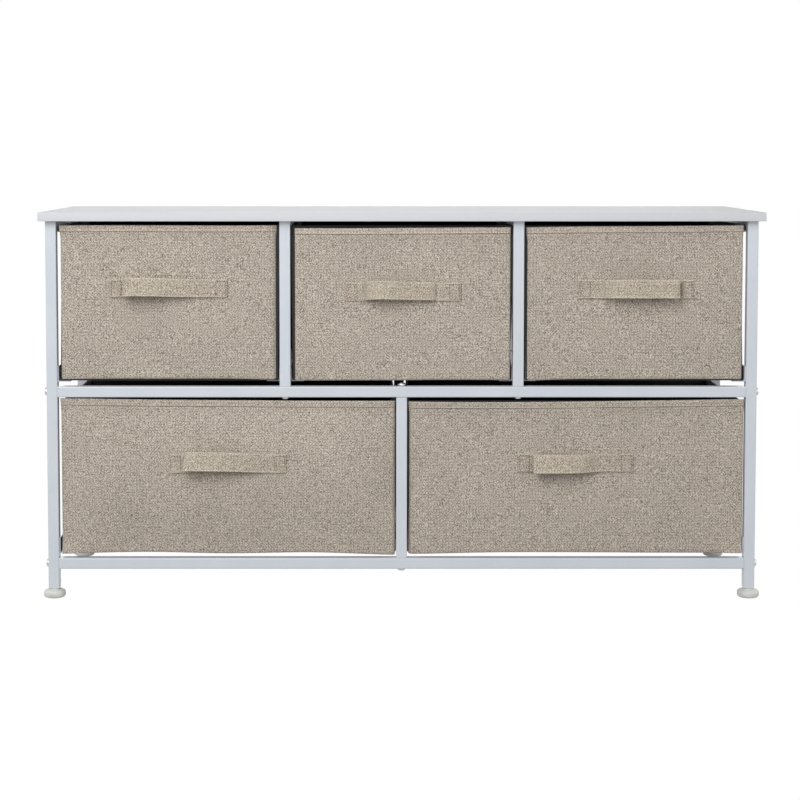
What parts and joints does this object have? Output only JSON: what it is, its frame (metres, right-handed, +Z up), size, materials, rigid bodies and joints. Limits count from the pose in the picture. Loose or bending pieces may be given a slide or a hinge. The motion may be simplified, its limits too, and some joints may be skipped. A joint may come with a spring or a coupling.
{
  "type": "fabric drawer dresser",
  "caption": "Wide low dresser: a white square-tube frame under a laminated board holds two rows of linen-look fabric bins with strap handles, on levelling feet.",
  "frame": {"origin": "on the floor, under the middle of the top board", "axes": "+Z up, the drawers open towards -Y, +X to the right as one faces the drawers"},
  "size_m": [0.994, 0.3, 0.534],
  "materials": {
    "white_board": "white melamine laminate on particle board, satin",
    "white_powder_coat": "white powder coat on steel tube and sheet, slight orange peel",
    "plated_steel": "zinc-plated steel",
    "foot_plastic": "moulded polypropylene, off-white",
    "plug_plastic": "moulded nylon, black",
    "black_nonwoven": "non-woven polypropylene cloth, black",
    "linen_cloth": "linen-look woven cloth, beige with brown slubs",
    "fibreboard": "thin hardboard"
  },
  "bodies": {
    "frame": {"divider_bolts": "plated_steel", "divider_end_nuts": "plated_steel", "front_bottom_rail": "white_powder_coat", "front_middle_rail": "white_powder_coat", "left_front_leg": "white_powder_coat", "left_lower_runner": "white_powder_coat", "left_rear_leg": "white_powder_coat", "left_top_crossbar": "white_powder_coat", "left_upper_runner": "white_powder_coat", "leg_plugs": "plug_plastic", "lower_center_runner": "white_powder_coat", "lower_front_divider": "white_powder_coat", "lower_rear_divider": "white_powder_coat", "rail_end_nuts": "plated_steel", "rear_bottom_rail": "white_powder_coat", "rear_middle_rail": "white_powder_coat", "right_front_leg": "white_powder_coat", "right_lower_runner": "white_powder_coat", "right_rear_leg": "white_powder_coat", "right_top_crossbar": "white_powder_coat", "right_upper_runner": "white_powder_coat", "side_frame_bolts": "plated_steel", "top_board": "white_board", "top_board_screws": "plated_steel", "upper_left_center_runner": "white_powder_coat", "upper_left_divider_top_bar": "white_powder_coat", "upper_left_front_divider": "white_powder_coat", "upper_left_rear_divider": "white_powder_coat", "upper_right_center_runner": "white_powder_coat", "upper_right_divider_top_bar": "white_powder_coat", "upper_right_front_divider": "white_powder_coat", "upper_right_rear_divider": "white_powder_coat"},
    "lower_left_drawer": {"lower_left_drawer_front": "linen_cloth", "lower_left_drawer_box": "black_nonwoven", "lower_left_drawer_base_board": "fibreboard", "lower_left_drawer_handle": "linen_cloth"},
    "lower_right_drawer": {"lower_right_drawer_front": "linen_cloth", "lower_right_drawer_box": "black_nonwoven", "lower_right_drawer_base_board": "fibreboard", "lower_right_drawer_handle": "linen_cloth"},
    "upper_left_drawer": {"upper_left_drawer_front": "linen_cloth", "upper_left_drawer_box": "black_nonwoven", "upper_left_drawer_base_board": "fibreboard", "upper_left_drawer_handle": "linen_cloth"},
    "upper_middle_drawer": {"upper_middle_drawer_front": "linen_cloth", "upper_middle_drawer_box": "black_nonwoven", "upper_middle_drawer_base_board": "fibreboard", "upper_middle_drawer_handle": "linen_cloth"},
    "upper_right_drawer": {"upper_right_drawer_front": "linen_cloth", "upper_right_drawer_box": "black_nonwoven", "upper_right_drawer_base_board": "fibreboard", "upper_right_drawer_handle": "linen_cloth"},
    "left_front_foot_turning": {"left_front_foot": "foot_plastic"},
    "left_rear_foot_turning": {"left_rear_foot": "foot_plastic"},
    "right_front_foot_turning": {"right_front_foot": "foot_plastic"},
    "right_rear_foot_turning": {"right_rear_foot": "foot_plastic"}
  },
  "joints": [
    {"name": "lower_left_drawer_slide", "type": "slide", "parent": "frame", "child": "lower_left_drawer", "axis": [0, -1, 0], "range_m": [0, 0.25]},
    {"name": "lower_right_drawer_slide", "type": "slide", "parent": "frame", "child": "lower_right_drawer", "axis": [0, -1, 0], "range_m": [0, 0.25]},
    {"name": "upper_left_drawer_slide", "type": "slide", "parent": "frame", "child": "upper_left_drawer", "axis": [0, -1, 0], "range_m": [0, 0.25]},
    {"name": "upper_middle_drawer_slide", "type": "slide", "parent": "frame", "child": "upper_middle_drawer", "axis": [0, -1, 0], "range_m": [0, 0.25]},
    {"name": "upper_right_drawer_slide", "type": "slide", "parent": "frame", "child": "upper_right_drawer", "axis": [0, -1, 0], "range_m": [0, 0.25]},
    {"name": "left_front_foot_turn", "type": "hinge", "parent": "frame", "child": "left_front_foot_turning", "pos_m": [-0.4815, -0.1315, 0], "axis": [0, 0, 1], "continuous": true},
    {"name": "left_rear_foot_turn", "type": "hinge", "parent": "frame", "child": "left_rear_foot_turning", "pos_m": [-0.4815, 0.1315, 0], "axis": [0, 0, 1], "continuous": true},
    {"name": "right_front_foot_turn", "type": "hinge", "parent": "frame", "child": "right_front_foot_turning", "pos_m": [0.4815, -0.1315, 0], "axis": [0, 0, 1], "continuous": true},
    {"name": "right_rear_foot_turn", "type": "hinge", "parent": "frame", "child": "right_rear_foot_turning", "pos_m": [0.4815, 0.1315, 0], "axis": [0, 0, 1], "continuous": true}
  ]
}
